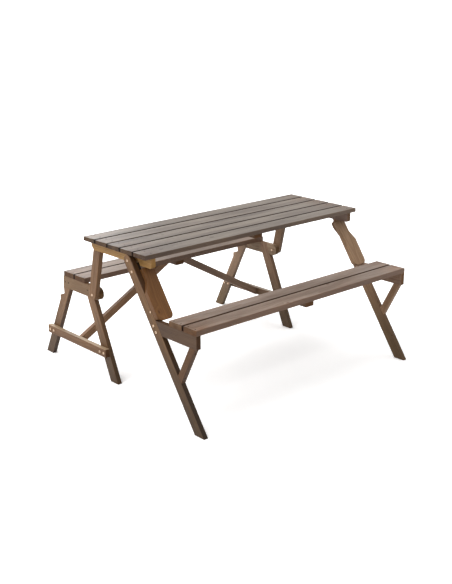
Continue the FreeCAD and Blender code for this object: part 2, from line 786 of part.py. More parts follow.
def end_batten(side):
    """Batten under the slat ends, which hangs the front bench on its pivot."""
    body = board(f"end_batten_{side}", side, "end_batten_inner", "end_batten_outer", [
        ("end_batten_front", "end_batten_bottom"),
        ("end_batten_back", "end_batten_bottom"),
        ("end_batten_back", "table_underside"),
        ("end_batten_front", "table_underside"),
    ])
    rounds = {"end_batten_back": "end_batten_back_round", "end_batten_front": "end_batten_front_round"}
    for end, radius in rounds.items():
        corner = (0, value_of(end), value_of("end_batten_bottom"))
        dress(body, "Fillet", edges_along(body, (1, 0, 0), [corner]), Radius=radius)
    drill(body, SEAT_PIVOT, "running_hole_size")
    pilot_depth = "link_screw_length - frame_thick + screw_play"
    drill_blind(body, side, "inner", LINK_SCREWS, "screw_hole_size", pilot_depth)
    drill_down(body, table_screw_places(), "table_underside", TABLE_PILOT_DEPTH)


def link(side):
    """Link from the rear bench's pivot up to the slats, flat on the end batten."""
    shift_y = "frame_width / 2 * cos(link_lean)"
    shift_z = "frame_width / 2 * sin(link_lean)"
    top_half = "frame_width / 2 / cos(link_lean)"
    body = board(f"link_{side}", side, "link_inner", "end_batten_inner", [
        (f"table_pivot_y - {shift_y}", f"table_pivot_z - {shift_z}"),
        (f"table_pivot_y + {shift_y}", f"table_pivot_z + {shift_z}"),
        (f"link_top_y + {top_half}", "table_underside"),
        (f"link_top_y - {top_half}", "table_underside"),
    ], TABLE_PIVOT)
    drill(body, TABLE_PIVOT, "running_hole_size")
    drill(body, LINK_SCREWS, "screw_hole_size")
    drill_blind(body, side, "inner", LINK_SCREWS, "screw_seat_size", "screw_head_thick")


def table():
    """The whole table top."""
    count = int(sheet.table_slats)
    batten_depth = "table_batten_screw_length - table_batten_thick + screw_play"
    for number in range(1, count + 1):
        slat(f"table_slat_{number}", table_slat_front(number), "table_height", "table_slat_width",
             "table_slat_thick", "half_length", "table_screw_x", 1 if number < count else 0, batten_depth)
    for side in SIDES:
        end_batten(side)
        link(side)
    places = table_screw_places()
    centre_batten("table_batten", "table_front + table_batten_front_inset", "table_batten_back",
                  "table_batten_bottom", "table_batten_thick", places[:-2:2])
    slat_row = ("Y_Axis", "(table_slats - 1) * (table_slat_width + slat_gap)", count)
    batten_row = ("Y_Axis", "(table_slats - 2) * (table_slat_width + slat_gap)", count - 1)
    screws("table_screws", "table_height", "slat_screw_length", False, ("-table_screw_x", "table_screw_x"),
           places[0], [("Y_Axis", "slat_screw_spread", 2), slat_row])
    screws("table_batten_screws", "table_batten_bottom", "table_batten_screw_length", True, ("0",),
           places[0], [batten_row])
    turned_set("link_screws", LINK_SCREWS, [
        ("link_inner", "link_inner + screw_head_thick", "screw_head_size", "head"),
        ("link_inner + screw_head_thick", "link_inner + link_screw_length", "screw_size", "shank"),
    ])


# Front bench: leg, seat support and prop at each end, and its seat

def leg_front_at(level):
    """Where the front face of a front leg lies along Y at a level."""
    return f"front_limit + leg_slope * ({level})"


FRONT_LAP = [
    (leg_front_at("support_bottom"), "support_bottom"),
    (f"{leg_front_at('support_bottom')} + leg_level_width", "support_bottom"),
    (f"{leg_front_at('support_top')} + leg_level_width", "support_top"),
    (leg_front_at("support_top"), "support_top"),
]
FRONT_LAP_BOLTS = [
    (f"{leg_front_at(level)} + front_bolt_inset", level)
    for level in ("support_bottom + front_bolt_high", "support_bottom + front_bolt_low")
]
# Height on the prop's front edge and upward tilt of its lower and upper screw
PROP_SCREWS = [
    ("prop_tip_z + prop_screw_setback", "0"),
    ("support_bottom - prop_screw_setback", "prop_screw_tilt"),
]
LEG_SCREW_LEVEL = "seat_height + leg_screw_rise"
LEG_SCREW = [(f"{leg_front_at(LEG_SCREW_LEVEL)} + leg_screw_inset", LEG_SCREW_LEVEL)]


def front_leg(side):
    """Leg with a round top on the seat pivot, cut flat at the floor."""
    shift_y = "frame_width / 2 * cos(leg_lean)"
    shift_z = "frame_width / 2 * sin(leg_lean)"
    body = board(f"front_leg_{side}", side, "front_frame_inner", "half_length", [
        ("front_limit", "0"),
        ("front_limit + leg_level_width", "0"),
        (f"seat_pivot_y + {shift_y}", f"seat_pivot_z - {shift_z}"),
        (f"seat_pivot_y - {shift_y}", f"seat_pivot_z + {shift_z}"),
    ], SEAT_PIVOT)
    cut_lap(body, side, FRONT_LAP)
    drill(body, SEAT_PIVOT + FRONT_LAP_BOLTS, "bolt_size")
    drill(body, [("armrest_pivot_y", "armrest_pivot_z")], "running_hole_size")
    drill_blind(body, side, "outer", LEG_SCREW, "screw_hole_size", "leg_screw_length + screw_play")
    drill_tilted(body, PROP_SCREWS[0])


def front_support(side):
    """Board under the front seat, lapped into the leg."""
    body = board(f"front_support_{side}", side, "front_frame_inner", "half_length", [
        ("front_seat_front", "support_bottom"),
        (leg_front_at("support_bottom"), "support_bottom"),
        (leg_front_at("support_top"), "support_top"),
        ("front_seat_front", "support_top"),
    ])
    add_tongue(body, side, FRONT_LAP)
    drill(body, FRONT_LAP_BOLTS, "bolt_size")
    places = seat_screw_places("front_seat_front", 1) + seat_screw_places("front_seat_front", 2)
    drill_down(body, places, "support_top", SEAT_PILOT_DEPTH)
    drill_tilted(body, PROP_SCREWS[1])


def prop(side):
    """Prop that butts against the front leg and the underside of the seat support."""
    body = board(f"prop_{side}", side, "front_frame_inner", "half_length", [
        (leg_front_at("prop_tip_z"), "prop_tip_z"),
        (leg_front_at("prop_heel_z"), "prop_heel_z"),
        ("prop_front + prop_level_width", "support_bottom"),
        ("prop_front", "support_bottom"),
    ])
    for screw in PROP_SCREWS:
        drill_tilted(body, screw)
        drill_tilted(body, screw, head=True)


def tilted_sketch(body, x, screw, depth="0"):
    """A sketch square to a prop screw, whose normal points out of the wood."""
    level, tilt = screw
    y = f"prop_front + prop_slope * (support_bottom - ({level}))"
    sketch = new_sketch(body, "XY_Plane", "tilted")
    about_x = FreeCAD.Rotation(FreeCAD.Vector(1, 0, 0), 90)
    sketch.AttachmentOffset = FreeCAD.Placement(FreeCAD.Vector(), about_x)
    bind(sketch, AttachmentOffset__Rotation__Angle=f"90 + {tilt}")
    bind(sketch, AttachmentOffset__Base__x=x)
    bind(sketch, AttachmentOffset__Base__y=f"{y} + ({depth}) * cos({tilt})")
    bind(sketch, AttachmentOffset__Base__z=f"{level} + ({depth}) * sin({tilt})")
    return sketch


def drill_tilted(body, screw, head=False):
    """Drill for a prop screw in the middle of a frame board, or cut the seat of its head."""
    sketch = tilted_sketch(body, "frame_thick / 2", screw)
    if head:
        draw_circles(sketch, [("0", "0")], "screw_seat_size")
        cut_pocket(body, sketch, "2 * (screw_head_thick + screw_head_size / 2)", Midplane=True)
    else:
        draw_circles(sketch, [("0", "0")], "screw_hole_size")
        cut_pocket(body, sketch, "prop_screw_length + screw_play")


def prop_screws():
    """Screws through the front edge of each prop."""
    body = new_body("prop_screws")
    sink = "screw_head_size / 2"
    for sign in ("-", ""):
        for screw in PROP_SCREWS:
            shank = tilted_sketch(body, f"{sign}front_seat_screw_x", screw, f"{sink} + screw_head_thick")
            draw_circles(shank, [("0", "0")], "screw_size")
            add_pad(body, shank, f"prop_screw_length - ({sink}) - screw_head_thick", Reversed=True)
            head = tilted_sketch(body, f"{sign}front_seat_screw_x", screw, sink)
            draw_circles(head, [("0", "0")], "screw_head_size")
            add_pad(body, head, "screw_head_thick", Reversed=True)


def front_frame_hardware():
    """Bolts, screws and pivots of the front bench."""
    turned_set("front_frame_bolts", FRONT_LAP_BOLTS, [
        ("front_frame_inner - nut_thick", "front_frame_inner", "nut_flats", "hexagon"),
        ("front_frame_inner", "half_length", "bolt_size", "shank"),
        ("half_length", "half_length + bolt_head_thick", "bolt_head_size", "head"),
    ])
    turned_set("front_leg_screws", LEG_SCREW, [
        ("half_length - leg_screw_length", "half_length", "screw_size", "shank"),
        ("half_length", "half_length + screw_head_thick", "screw_head_size", "head"),
    ])
    nut_end = "end_batten_inner - washer_play"
    turned_set("seat_pivot_bolts", SEAT_PIVOT, [
        (f"{nut_end} - nut_thick", nut_end, "nut_flats", "hexagon"),
        (nut_end, "half_length", "bolt_size", "shank"),
        ("half_length", "half_length + bolt_head_thick", "bolt_head_size", "head"),
    ])
    spacers = turned_set("seat_pivot_spacers", SEAT_PIVOT, [
        ("end_batten_outer + washer_play", "front_frame_inner", "spacer_size", "ring"),
    ])
    drill(spacers, SEAT_PIVOT, "bolt_size")
    prop_screws()


# Armrests, drawn in the frame of the front leg: +Y up the leg from the seat pivot, +Z out of its front face

def armrest(side):
    """Board that lies along the front leg and swings up level on the folded bench."""
    body = new_body(f"armrest_{side}", "seat_pivot_y", "seat_pivot_z", "90 - leg_lean")
    sign = "" if side == "right" else "-"
    inner = f"{sign}(half_length - armrest_width)"
    outer = f"{sign}half_length"
    neck = f"{sign}bracket_outer"
    outline = new_sketch(body, "XY_Plane", "outline", "armrest_low")
    draw_outline(outline, [
        (inner, "-armrest_start"),
        (neck, "-armrest_start"),
        (neck, "-armrest_neck_end"),
        (outer, "-armrest_shoulder"),
        (outer, "-armrest_long"),
        (inner, "-armrest_long"),
    ])
    add_pad(body, outline, "armrest_thick")
    end = value_of("-armrest_long")
    corners = [(value_of(x), end, 0) for x in (inner, outer)]
    dress(body, "Fillet", edges_along(body, (0, 0, 1), corners), Radius="armrest_corner")
    dress(body, "Fillet", face_at(body, 2, value_of("armrest_high")), Radius="slat_round")
    end_cut = new_sketch(body, "YZ_Plane", "level_end")
    draw_outline(end_cut, [
        ("-armrest_short", "armrest_low"),
        ("-armrest_long", "armrest_high"),
        ("-armrest_long - armrest_thick", "armrest_low"),
    ])
    cut_pocket(body, end_cut)


def armrest_bracket(side):
    """Plate under the armrest that turns on a bolt beside the leg."""
    body = new_body(f"armrest_bracket_{side}", "seat_pivot_y", "seat_pivot_z", "90 - leg_lean")
    start = "bracket_inner" if side == "right" else "-bracket_outer"
    outline = new_sketch(body, "YZ_Plane", "outline", start)
    draw_outline(outline, [
        ("-bracket_start", "armrest_low"),
        ("-armrest_drop + bracket_toe", "-bracket_depth"),
        ("-armrest_drop - bracket_heel", "-bracket_depth"),
        ("-(armrest_drop + bracket_end) / 2", "-bracket_waist"),
        ("-bracket_end", "armrest_low"),
    ])
    add_pad(body, outline, "bracket_thick")
    drill(body, [("-armrest_drop", "0")], "bolt_size")


def armrest_bolt(side):
    """Bolt that turns in the leg and is screwed into the bracket."""
    head_start = "half_length + washer_play"
    sections = [
        ("bracket_inner", head_start, "bolt_size", "shank"),
        (head_start, f"{head_start} + bolt_head_thick", "bolt_head_size", "head"),
    ]
    if side == "left":
        sections = [(f"-({end})", f"-({start})", size, form) for start, end, size, form in sections]
    turned_set(f"armrest_bolt_{side}", [("0", "0")], sections, False, "armrest_pivot_y", "armrest_pivot_z")


def build():
    """Build every sub-part."""
    fill_sheet()
    derive_sizes()
    for side in SIDES:
        rear_support(side)
        rear_leg(side)
        inner_leg(side)
        rung(side)
        brace(side)
    seat("rear_seat", "rear_seat_front", "rear_frame_outer", "rear_seat_screw_x")
    rear_frame_hardware()
    table()
    for side in SIDES:
        front_leg(side)
        front_support(side)
        prop(side)
    seat("front_seat", "front_seat_front", "half_length", "front_seat_screw_x")
    front_frame_hardware()
    for side in SIDES:
        armrest(side)
        armrest_bracket(side)
        armrest_bolt(side)
    document.recompute()


def check():
    """Stop if anything failed to build."""
    for item in document.Objects:
        if "Invalid" in item.State or "Error" in item.State:
            raise ValueError(f"{item.Label} failed: {item.State}")
    for body in subparts:
        if body.Shape.isNull() or not body.Shape.isValid():
            raise ValueError(f"{body.Label} has no valid shape")


def write():
    """Write each sub-part to its own file."""
    os.makedirs("parts", exist_ok=True)
    for body in subparts:
        body.Shape.exportStep(f"parts/{body.Label}.step")


build()
check()
write()
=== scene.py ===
import json
import math
import random

import bmesh
import bpy
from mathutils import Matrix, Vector


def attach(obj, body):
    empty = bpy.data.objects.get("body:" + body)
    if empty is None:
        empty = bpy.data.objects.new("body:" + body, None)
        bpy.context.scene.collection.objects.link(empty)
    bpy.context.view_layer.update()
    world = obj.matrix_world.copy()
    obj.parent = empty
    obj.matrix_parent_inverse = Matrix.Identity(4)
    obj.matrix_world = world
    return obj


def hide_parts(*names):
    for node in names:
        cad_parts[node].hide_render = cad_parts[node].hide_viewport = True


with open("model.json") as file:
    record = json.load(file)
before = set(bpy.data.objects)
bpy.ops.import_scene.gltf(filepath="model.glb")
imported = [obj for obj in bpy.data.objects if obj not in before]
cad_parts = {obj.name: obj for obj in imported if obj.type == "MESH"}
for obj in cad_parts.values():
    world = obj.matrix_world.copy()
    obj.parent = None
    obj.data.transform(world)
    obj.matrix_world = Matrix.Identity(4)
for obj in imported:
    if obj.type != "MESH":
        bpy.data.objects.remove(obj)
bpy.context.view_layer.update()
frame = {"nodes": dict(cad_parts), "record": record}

# Looks of the picnic table bench, in metres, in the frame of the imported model.
# X runs along the table, +Y to the rear, +Z up, and the object stands on Z = 0.

record = frame["record"]
slot_of_node = {part["node"]: part["material_slot"] for part in record["subparts"]}
body_of_node = {}
for body_name, members in record["behaviour"]["bodies"].items():
    for member in members:
        body_of_node[member] = body_name


# Node trees

class Tree:
    """Short calls that add nodes to a material or to the world."""

    def __init__(self, holder):
        holder.use_nodes = True
        self.nodes = holder.node_tree.nodes
        self.links = holder.node_tree.links
        self.nodes.clear()

    def put(self, socket, value):
        """Link an output to a socket, or set the socket's value."""
        if isinstance(value, bpy.types.NodeSocket):
            self.links.new(value, socket)
        elif value is not None:
            socket.default_value = value

    def add(self, kind, **inputs):
        """Add a node and fill its inputs; an underscore stands for a space in their names."""
        node = self.nodes.new(kind)
        for name, value in inputs.items():
            self.put(node.inputs[name.replace("_", " ")], value)
        return node

    def math(self, operation, first, second=None, third=None, clamp=False):
        """One operation on numbers."""
        node = self.nodes.new("ShaderNodeMath")
        node.operation = operation
        node.use_clamp = clamp
        for socket, value in zip(node.inputs, (first, second, third)):
            self.put(socket, value)
        return node.outputs[0]

    def vector(self, operation, first, second=None):
        """One operation on vectors."""
        node = self.nodes.new("ShaderNodeVectorMath")
        node.operation = operation
        self.put(node.inputs[0], first)
        self.put(node.inputs[1], second)
        return node.outputs["Value" if operation in ("LENGTH", "DOT_PRODUCT") else "Vector"]

    def part(self, vector, axis):
        """One of a vector's three numbers."""
        return self.add("ShaderNodeSeparateXYZ", Vector=vector).outputs[axis]

    def ramp(self, value, low, high, start=0.0, end=1.0):
        """A smooth rise from start to end as the value goes from low to high."""
        limits = {"From_Min": low, "From_Max": high, "To_Min": start, "To_Max": end}
        node = self.add("ShaderNodeMapRange", Value=value, **limits)
        node.interpolation_type = "SMOOTHSTEP"
        return node.outputs["Result"]

    def mix(self, share, first, second, blend="MIX"):
        """A blend of two colours."""
        node = self.nodes.new("ShaderNodeMix")
        node.data_type = "RGBA"
        node.blend_type = blend
        for name, value in (("Factor_Float", share), ("A_Color", first), ("B_Color", second)):
            socket = [item for item in node.inputs if item.identifier == name][0]
            self.put(socket, value)
        return [item for item in node.outputs if item.identifier == "Result_Color"][0]

    def noise(self, place, scale, detail=2.0, roughness=0.5):
        """Noise from 0 to 1."""
        node = self.add("ShaderNodeTexNoise", Vector=place, Scale=scale, Detail=detail, Roughness=roughness)
        return node.outputs["Fac"]

    def kept(self, name, output):
        """A number or vector that each piece keeps under this name."""
        node = self.add("ShaderNodeAttribute")
        node.attribute_type = "OBJECT"
        node.attribute_name = name
        return node.outputs[output]

    def surface(self, height, bump_strength, bump_depth, **inputs):
        """The material's surface, with a bump that follows a height."""
        bump = self.add("ShaderNodeBump", Strength=bump_strength, Distance=bump_depth, Height=height)
        shader = self.add("ShaderNodeBsdfPrincipled", Normal=bump.outputs[0], **inputs)
        self.add("ShaderNodeOutputMaterial", Surface=shader.outputs[0])


def colour(red, green, blue):
    """A colour given in the 0 to 255 steps of a picture, as the shader wants it."""
    def linear(step):
        share = step / 255
        return share / 12.92 if share <= 0.04045 else ((share + 0.055) / 1.055) ** 2.4
    return (linear(red), linear(green), linear(blue), 1.0)


# Wood

GOLDEN = colour(218, 172, 112)

# What each mark does to the stained colour, as factors of red, green and blue.
LATE_WOOD = (0.66, 0.57, 0.51, 1.0)
FIBRES = (0.72, 0.68, 0.64, 1.0)
STREAKS = (0.58, 0.52, 0.48, 1.0)
KNOTS = (0.42, 0.30, 0.24, 1.0)
RUBBED_EDGES = (1.42, 1.38, 1.34, 1.0)
END_GRAIN = (0.55, 0.42, 0.24, 1.0)
# Browner and darker on a slat's narrow sides, and a brown stain in patches near its ends.
BROWNER_SIDES_AND_END_STAIN = (0.86, 0.66, 0.50, 1.0)
# Painted shade on narrow sides and the rims beside them, where shade falls in gaps and under other boards.
PAINTED_SIDE_SHADE = (0.21, 0.15, 0.10, 1.0)
# Painted shade that darkens legs towards their feet.
SHADED_FEET = (0.31, 0.30, 0.21, 1.0)
# A painted sheen, pale and cool, on the tops of rungs.
PAINTED_RUNG_SHEEN = (2.4, 3.4, 4.9, 1.0)

# How often each pattern changes in a metre, along the grain and across it.
STAIN_PATCHES = (2.5, 16.0)
END_PATCHES = (9.0, 22.0)
# How unevenly the painted shade at a leg's foot reaches up.
FOOT_SHADE_PATCHES = (6.0, 40.0)
WEAR_PATCHES = (18.0, 60.0)
RING_BENDS = (2.2, 7.0)
FIBRE_LINES = (22.0, 620.0)
STREAK_LINES = (5.0, 170.0)
KNOT_CELLS = (3.6, 5.5, 0.0)
RINGS_PER_METRE = 230.0
RING_CHANGES = 45.0

# How far the patterns of two boards lie apart, and how rings bend, taper and make way for a knot.
SEED_REACH = (37.0, 11.0, 23.0)
RING_WANDER = (0.0, 0.030, 0.030)
RING_TAPER = (0.03, 1.0, 1.0)
RING_UNEVEN = 2.5
KNOT_PUSH = 0.006

# A knot's radius as a share of its cell, and how many radii away it still bends the rings.
KNOT_SMALLEST = 0.008
KNOT_LARGEST = 0.05
KNOT_REACH = 4.5

# How far the end stain and the worn edges reach.
END_STAIN_LENGTH = 0.18
WEAR_NEAR = 0.0025
WEAR_FAR = 0.0065
WEAR_UNEVEN = 0.006

# Where the painted shade on rims and towards a leg's foot starts and is full, as shares of half the board's
# width or length.
SHADED_RIM_START = 0.88
SHADED_RIM_FULL = 0.96
FOOT_SHADE_START = -0.6
FOOT_SHADE_FULL = 1.05
FOOT_SHADE_UNEVEN = 0.3

# How rough and how high the grain is.
FIBRE_ROUGHNESS = 0.16
MEAN_FIBRE_ROUGHNESS = 0.06
END_ROUGHNESS = 0.25
LATE_HEIGHT = 0.35
FIBRE_HEIGHT = 0.8
KNOT_HEIGHT = 0.4
GRAIN_BUMP = 0.5
GRAIN_DEPTH = 0.0004


def wood(name, pale, dark, roughness, specular):
    """Stained softwood, sawn from a log along the board's own length."""
    material = bpy.data.materials.new(name)
    tree = Tree(material)
    place, facing = board_frame(tree)
    offset = tree.vector("MULTIPLY", tree.kept("seed", "Fac"), SEED_REACH)
    knot_share = knots(tree, place, offset)
    knot = tree.ramp(knot_share, 0.75, 1.0, 1.0, 0.0)
    bend = tree.ramp(knot_share, 0.0, KNOT_REACH, 1.0, 0.0)
    late, fibre, streak = grain(tree, place, offset, bend)
    end_grain = tree.ramp(tree.math("ABSOLUTE", tree.part(facing, "X")), 0.7, 0.9)

    base = stained(tree, place, offset, pale, dark)
    # How strong each mark is here, from 0 to 1, and what it does to the colour.
    marks = (
        (tree.math("MULTIPLY", late, 0.50), LATE_WOOD),
        (tree.ramp(fibre, 0.42, 0.75, 0.0, 0.55), FIBRES),
        (tree.ramp(streak, 0.56, 0.78, 0.0, 0.75), STREAKS),
        (tree.math("MULTIPLY", knot, 0.8), KNOTS),
        (tree.math("MULTIPLY", edge_wear(tree, place, offset), 0.50), RUBBED_EDGES),
        (bare_end(tree, end_grain), END_GRAIN),
        (browner_sides_and_end_stain(tree, place, facing, offset), BROWNER_SIDES_AND_END_STAIN),
        # Painted shade on narrow sides and rims.
        (painted_side_shade(tree, place, facing), PAINTED_SIDE_SHADE),
        # Painted shade towards the feet of legs.
        (painted_foot_shade(tree, place, offset), SHADED_FEET),
        # A painted sheen on the tops of rungs.
        (worn_tread(tree, facing), PAINTED_RUNG_SHEEN),
    )
    for share, factor in marks:
        base = tree.mix(share, base, tree.mix(1.0, base, factor, "MULTIPLY"))

    rough = grain_roughness(tree, fibre, end_grain, roughness)
    height = grain_height(tree, late, fibre, knot)
    tree.surface(height, GRAIN_BUMP, GRAIN_DEPTH, Base_Color=base, Roughness=rough,
                 Specular_IOR_Level=specular)
    return material


def grain_roughness(tree, fibre, end_grain, roughness):
    """Roughness around a mean, higher on fibres and on end grain."""
    rough = tree.math("MULTIPLY", fibre, FIBRE_ROUGHNESS)
    rough = tree.math("ADD", rough, roughness - MEAN_FIBRE_ROUGHNESS)
    return tree.math("ADD", rough, tree.math("MULTIPLY", end_grain, END_ROUGHNESS), clamp=True)


def grain_height(tree, late, fibre, knot):
    """How far late wood and fibres stand up and knots lie down."""
    height = tree.math("MULTIPLY", late, LATE_HEIGHT)
    height = tree.math("ADD", height, tree.math("MULTIPLY", fibre, FIBRE_HEIGHT))
    return tree.math("SUBTRACT", height, tree.math("MULTIPLY", knot, KNOT_HEIGHT))


def board_frame(tree):
    """Where a point lies from the board's middle and which way its face looks, along the board's own axes."""
    spot = tree.add("ShaderNodeTexCoord")
    axes = [tree.kept(name, "Vector") for name in ("along", "across", "out")]
    from_middle = tree.vector("SUBTRACT", spot.outputs["Object"], tree.kept("middle", "Vector"))
    turned = []
    for vector in (from_middle, spot.outputs["Normal"]):
        parts = [tree.vector("DOT_PRODUCT", vector, axis) for axis in axes]
        turned.append(tree.add("ShaderNodeCombineXYZ", X=parts[0], Y=parts[1], Z=parts[2]).outputs[0])
    return turned


def drawn_out(tree, place, offset, often):
    """Coordinates for a pattern that changes this often along the grain and across it."""
    along, across = often
    return tree.vector("ADD", tree.vector("MULTIPLY", place, (along, across, across)), offset)


def patches(tree, place, offset, often, detail=3.0, roughness=0.5):
    """Noise from 0 to 1 that is drawn out along the grain."""
    return tree.noise(drawn_out(tree, place, offset, often), 1.0, detail, roughness)


def knots(tree, place, offset):
    """How far a point of a board's face is from the nearest knot's middle, over the knot's radius."""
    cells = tree.nodes.new("ShaderNodeTexVoronoi")
    cells.voronoi_dimensions = "2D"
    tree.put(cells.inputs["Vector"], tree.vector("ADD", tree.vector("MULTIPLY", place, KNOT_CELLS), offset))
    tree.put(cells.inputs["Scale"], 1.0)
    radius = tree.ramp(tree.part(cells.outputs["Color"], "X"), 0.2, 1.0, KNOT_SMALLEST, KNOT_LARGEST)
    return tree.math("DIVIDE", cells.outputs["Distance"], radius)


def grain(tree, place, offset, bend):
    """Late wood of the year rings, fine fibres and long streaks."""
    wander = tree.add("ShaderNodeTexNoise", Scale=1.0, Detail=2.0,
                      Vector=drawn_out(tree, place, offset, RING_BENDS))
    centred = tree.vector("SUBTRACT", wander.outputs["Color"], (0.5, 0.5, 0.5))
    warped = tree.vector("ADD", place, tree.vector("MULTIPLY", centred, RING_WANDER))
    off_pith = tree.vector("SUBTRACT", warped, tree.kept("pith", "Vector"))
    from_pith = tree.vector("LENGTH", tree.vector("MULTIPLY", off_pith, RING_TAPER))
    radius = tree.math("ADD", from_pith, tree.math("MULTIPLY", bend, KNOT_PUSH))
    year = tree.add("ShaderNodeCombineXYZ", X=radius, Y=tree.part(offset, "X")).outputs[0]
    growth = tree.math("MULTIPLY", tree.noise(year, RING_CHANGES), RING_UNEVEN)
    ring = tree.math("FRACT", tree.math("ADD", tree.math("MULTIPLY", radius, RINGS_PER_METRE), growth))
    late = tree.math("MULTIPLY", tree.ramp(ring, 0.25, 0.88), tree.ramp(ring, 0.90, 1.0, 1.0, 0.0))
    fibre = patches(tree, place, offset, FIBRE_LINES, roughness=0.6)
    streak = patches(tree, place, offset, STREAK_LINES, detail=2.0)
    return late, fibre, streak


def stained(tree, place, offset, pale, dark):
    """Stain that took unevenly, with the piece's own warmth, and a depth and tint that carry both its own
    tone and painted light and shade.
    """
    tone = patches(tree, place, offset, STAIN_PATCHES)
    base = tree.mix(tree.ramp(tone, 0.3, 0.7), pale, dark)
    base = tree.mix(tree.kept("warmth", "Fac"), base, GOLDEN)
    return tree.vector("MULTIPLY", base, tree.kept("tint", "Vector"))


def bare_end(tree, end_grain):
    """How dark the end grain is, which is less on a golden piece."""
    strength = tree.math("MULTIPLY_ADD", tree.kept("warmth", "Fac"), -0.8, 0.85)
    return tree.math("MULTIPLY", end_grain, strength)


def browner_sides_and_end_stain(tree, place, facing, offset):
    """How brown a slat's narrow sides are and, in patches, its ends."""
    narrow = tree.ramp(tree.math("ABSOLUTE", tree.part(facing, "Y")), 0.3, 0.8, 0.0, 0.75)
    from_end = tree.vector("SUBTRACT", tree.vector("ABSOLUTE", place), tree.kept("half", "Vector"))
    near_end = tree.ramp(tree.part(from_end, "X"), -END_STAIN_LENGTH, 0.0)
    patchy = patches(tree, place, offset, END_PATCHES)
    end = tree.math("MULTIPLY", near_end, tree.ramp(patchy, 0.30, 0.62, 0.2, 1.0))
    strength = tree.part(tree.kept("sides", "Vector"), "Z")
    return tree.math("MULTIPLY", tree.math("MAXIMUM", narrow, end), strength)


def painted_side_shade(tree, place, facing):
    """How much painted shade darkens the narrow sides and the rims beside them, in front and to the rear,
    where shade falls in gaps and under other boards.
    """
    sideways = tree.part(facing, "Y")
    strength = tree.kept("sides", "Vector")
    reach = tree.part(tree.kept("half", "Vector"), "Y")
    share = tree.math("DIVIDE", tree.math("ABSOLUTE", tree.part(place, "Y")), reach)
    rim = tree.ramp(share, SHADED_RIM_START, SHADED_RIM_FULL, 0.0, 0.9)
    is_front = tree.math("LESS_THAN", tree.part(place, "Y"), 0.0)
    front_rim = tree.math("MULTIPLY", rim, is_front)
    rear_rim = tree.math("SUBTRACT", rim, front_rim)
    front = tree.math("MAXIMUM", tree.ramp(sideways, -0.6, -0.1, 1.0, 0.0), front_rim)
    rear = tree.math("MAXIMUM", tree.ramp(sideways, 0.1, 0.6), rear_rim)
    front = tree.math("MULTIPLY", tree.part(strength, "X"), front)
    rear = tree.math("MULTIPLY", tree.part(strength, "Y"), rear)
    return tree.math("MAXIMUM", front, rear)


def painted_foot_shade(tree, place, offset):
    """How much painted shade darkens a leg towards the end that stands on the ground, where less light
    reaches.
    """
    along = tree.math("MULTIPLY", tree.part(place, "X"), tree.kept("foot", "Fac"))
    patchy = patches(tree, place, offset, FOOT_SHADE_PATCHES)
    reach = tree.math("ADD", along, tree.math("MULTIPLY", patchy, FOOT_SHADE_UNEVEN))
    return tree.ramp(reach, FOOT_SHADE_START, FOOT_SHADE_FULL, 0.0, 0.95)


def worn_tread(tree, facing):
    """How much painted sheen lies on the top of a rung."""
    upper = tree.ramp(tree.part(facing, "Y"), 0.6, 0.9)
    return tree.math("MULTIPLY", upper, tree.kept("tread", "Fac"))


def edge_wear(tree, place, offset):
    """How rubbed the wood is, most along its long edges."""
    gap = tree.vector("SUBTRACT", tree.kept("half", "Vector"), tree.vector("ABSOLUTE", place))
    nearest = tree.math("MAXIMUM", tree.part(gap, "Y"), tree.part(gap, "Z"))
    patchy = patches(tree, place, offset, WEAR_PATCHES)
    reach = tree.math("ADD", nearest, tree.math("MULTIPLY", patchy, WEAR_UNEVEN))
    return tree.ramp(reach, WEAR_NEAR, WEAR_FAR, 1.0, 0.0)


# Metal

DULL_METAL = (0.62, 0.60, 0.58, 1.0)
BLOTCHES_PER_METRE = 260.0
TURNING_MARKS_PER_METRE = 1400.0
TURNING_DEPTH = 0.0001


def metal(name, tint, roughness):
    """Plated steel with faint blotches and fine turning marks."""
    material = bpy.data.materials.new(name)
    tree = Tree(material)
    place = tree.add("ShaderNodeTexCoord").outputs["Object"]
    blotch = tree.noise(place, BLOTCHES_PER_METRE, 3.0)
    fine = tree.noise(place, TURNING_MARKS_PER_METRE, 2.0)
    dull = tree.mix(1.0, tint, DULL_METAL, "MULTIPLY")
    base = tree.mix(tree.ramp(blotch, 0.35, 0.75), tint, dull)
    rough = tree.math("ADD", tree.math("MULTIPLY", blotch, 0.25), roughness - 0.1, clamp=True)
    tree.surface(fine, 0.25, TURNING_DEPTH, Base_Color=base, Roughness=rough, Metallic=1.0)
    return material


# Materials

materials = {
    "table_wood": wood("table_wood", colour(156, 142, 130), colour(116, 100, 89), 0.38, 0.3),
    "seat_wood": wood("seat_wood", colour(167, 144, 129), colour(133, 112, 98), 0.44, 0.3),
    "frame_wood": wood("frame_wood", colour(170, 131, 98), colour(140, 105, 77), 0.50, 0.28),
    "armrest_wood": wood("armrest_wood", colour(166, 122, 84), colour(142, 102, 66), 0.48, 0.28),
    "bracket_wood": wood("bracket_wood", colour(150, 118, 92), colour(126, 96, 72), 0.60, 0.20),
    "bright_bolts": metal("bright_bolts", colour(216, 190, 164), 0.36),
    "dark_screws": metal("dark_screws", colour(66, 54, 44), 0.46),
}


# Meshes

WELD_DISTANCE = 1e-6
FLAT_LIMIT = math.radians(0.5)
SHARP_LIMIT = math.radians(25)
SMOOTH_LIMIT = math.radians(38)
WIDEST_HOLE = 0.012
EDGE_ROUNDING = 0.0012


def welded_copy(node):
    """The node's mesh with its faces joined at their corners."""
    form = bmesh.new()
    form.from_mesh(frame["nodes"][node].data)
    bmesh.ops.remove_doubles(form, verts=form.verts, dist=WELD_DISTANCE)
    return form


def groups(items, neighbours):
    """Lists of the items that hang together."""
    waiting = set(items)
    found = []
    while waiting:
        group = [waiting.pop()]
        for item in group:
            near = neighbours(item) & waiting
            waiting -= near
            group += near
        found.append(group)
    return found


